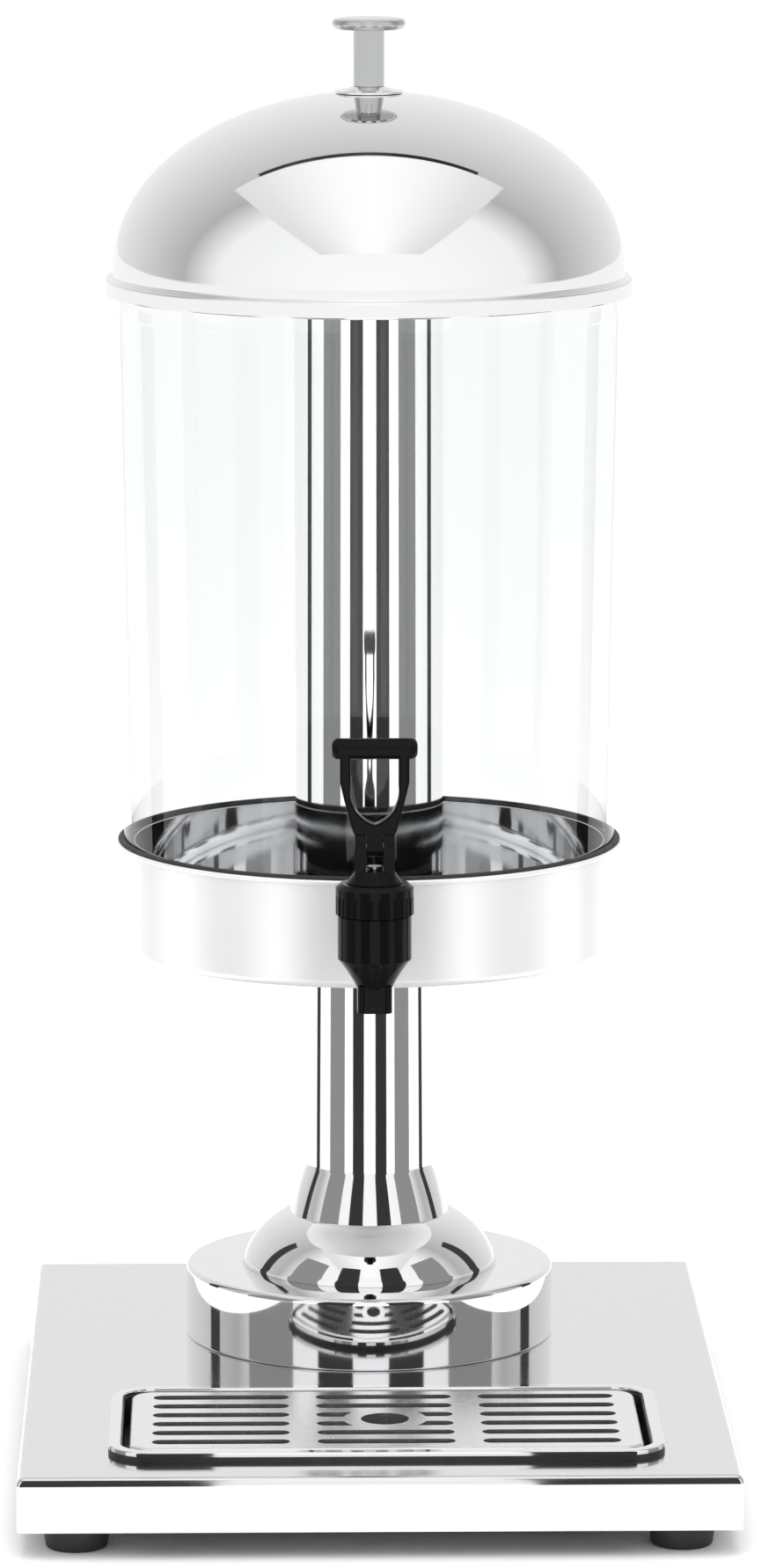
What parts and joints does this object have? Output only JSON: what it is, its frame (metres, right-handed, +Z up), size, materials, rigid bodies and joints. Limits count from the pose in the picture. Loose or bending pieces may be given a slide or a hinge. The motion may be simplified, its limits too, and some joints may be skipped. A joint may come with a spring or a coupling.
{
  "type": "cold drink dispenser",
  "caption": "Countertop cold drink dispenser: clear round tank with an ice tube, dome lid with a knob, push tap, polished column and a drip tray let into the base.",
  "frame": {"origin": "on the table, under the middle of the base", "axes": "+Z up; the tap and the drip tray face -Y; +X is to the right as seen from the front"},
  "size_m": [0.26, 0.35, 0.5348],
  "materials": {
    "steel_polished": "mirror-polished stainless steel",
    "steel_satin": "satin stainless steel",
    "steel_base": "polished stainless sheet",
    "steel_zinc": "mill-finish steel",
    "steel_screw": "plain stainless steel",
    "clear_plastic": "clear moulded plastic",
    "plastic_black": "glossy moulded plastic",
    "plastic_black_matte": "matte moulded plastic",
    "rubber": "moulded rubber"
  },
  "bodies": {
    "stand": {"base_plate": "steel_base", "stiffener_channels": "steel_zinc", "deck_doubler": "steel_zinc", "corner_brackets": "steel_zinc", "rubber_feet": "rubber", "foot_screws": "steel_screw", "foot_nuts": "steel_screw", "base_drum": "steel_polished", "bell_flange": "steel_polished", "stem": "steel_polished", "stem_plug": "plastic_black_matte", "tie_rod": "steel_screw", "tie_rod_nut": "steel_screw", "tie_rod_washer": "steel_screw", "tank_cup": "steel_satin", "pan_spreader": "steel_zinc", "tank_pan": "steel_polished", "seat_ring": "steel_polished", "tank_gasket": "rubber", "tank": "clear_plastic", "hub_seal": "rubber", "hub": "steel_polished", "tap_body": "plastic_black", "tap_outer_washer": "rubber", "tap_inner_washer": "rubber", "tap_spacer": "plastic_black_matte", "tap_shank_nut": "plastic_black_matte", "tap_bonnet_nut": "plastic_black", "tap_bonnet": "plastic_black", "lever_pin": "steel_screw"},
    "lid": {"lid_dome": "steel_polished", "knob_flange": "steel_polished", "knob_stem": "steel_polished", "knob_disc": "steel_polished", "knob_washer": "steel_screw", "knob_screw": "steel_screw"},
    "ice_tube": {"ice_tube": "steel_satin", "ice_tube_cap": "plastic_black_matte"},
    "tray": {"drip_tray": "plastic_black_matte", "tray_trim": "steel_polished"},
    "grille": {"drip_grille": "steel_satin"},
    "lever": {"tap_lever": "plastic_black"},
    "valve": {"valve_stem": "steel_screw", "seat_cup": "rubber", "valve_spring": "steel_screw"}
  },
  "joints": [
    {"name": "lid_lift", "type": "slide", "parent": "stand", "child": "lid", "axis": [0, 0, 1], "range_m": [0, 0.12]},
    {"name": "ice_tube_lift", "type": "slide", "parent": "stand", "child": "ice_tube", "axis": [0, 0, 1], "range_m": [0, 0.03]},
    {"name": "tray_lift", "type": "slide", "parent": "stand", "child": "tray", "axis": [0, 0, 1], "range_m": [0, 0.03]},
    {"name": "grille_lift", "type": "slide", "parent": "tray", "child": "grille", "axis": [0, 0, 1], "range_m": [0, 0.02]},
    {"name": "tap_lever_pull", "type": "hinge", "parent": "stand", "child": "lever", "pos_m": [0, -0.0601, 0.23941], "axis": [1, 0, 0], "range_deg": [0, 40], "stiffness_Nm_per_rad": 0.15, "springref_deg": -57.3},
    {"name": "valve_lift", "type": "slide", "parent": "stand", "child": "valve", "axis": [0, 0, 1], "range_m": [0, 0.003], "deforming": ["valve_spring"]}
  ],
  "couplings": [
    {"joint": "valve_lift", "follows": "tap_lever_pull", "m_per_rad": 0.0042}
  ]
}
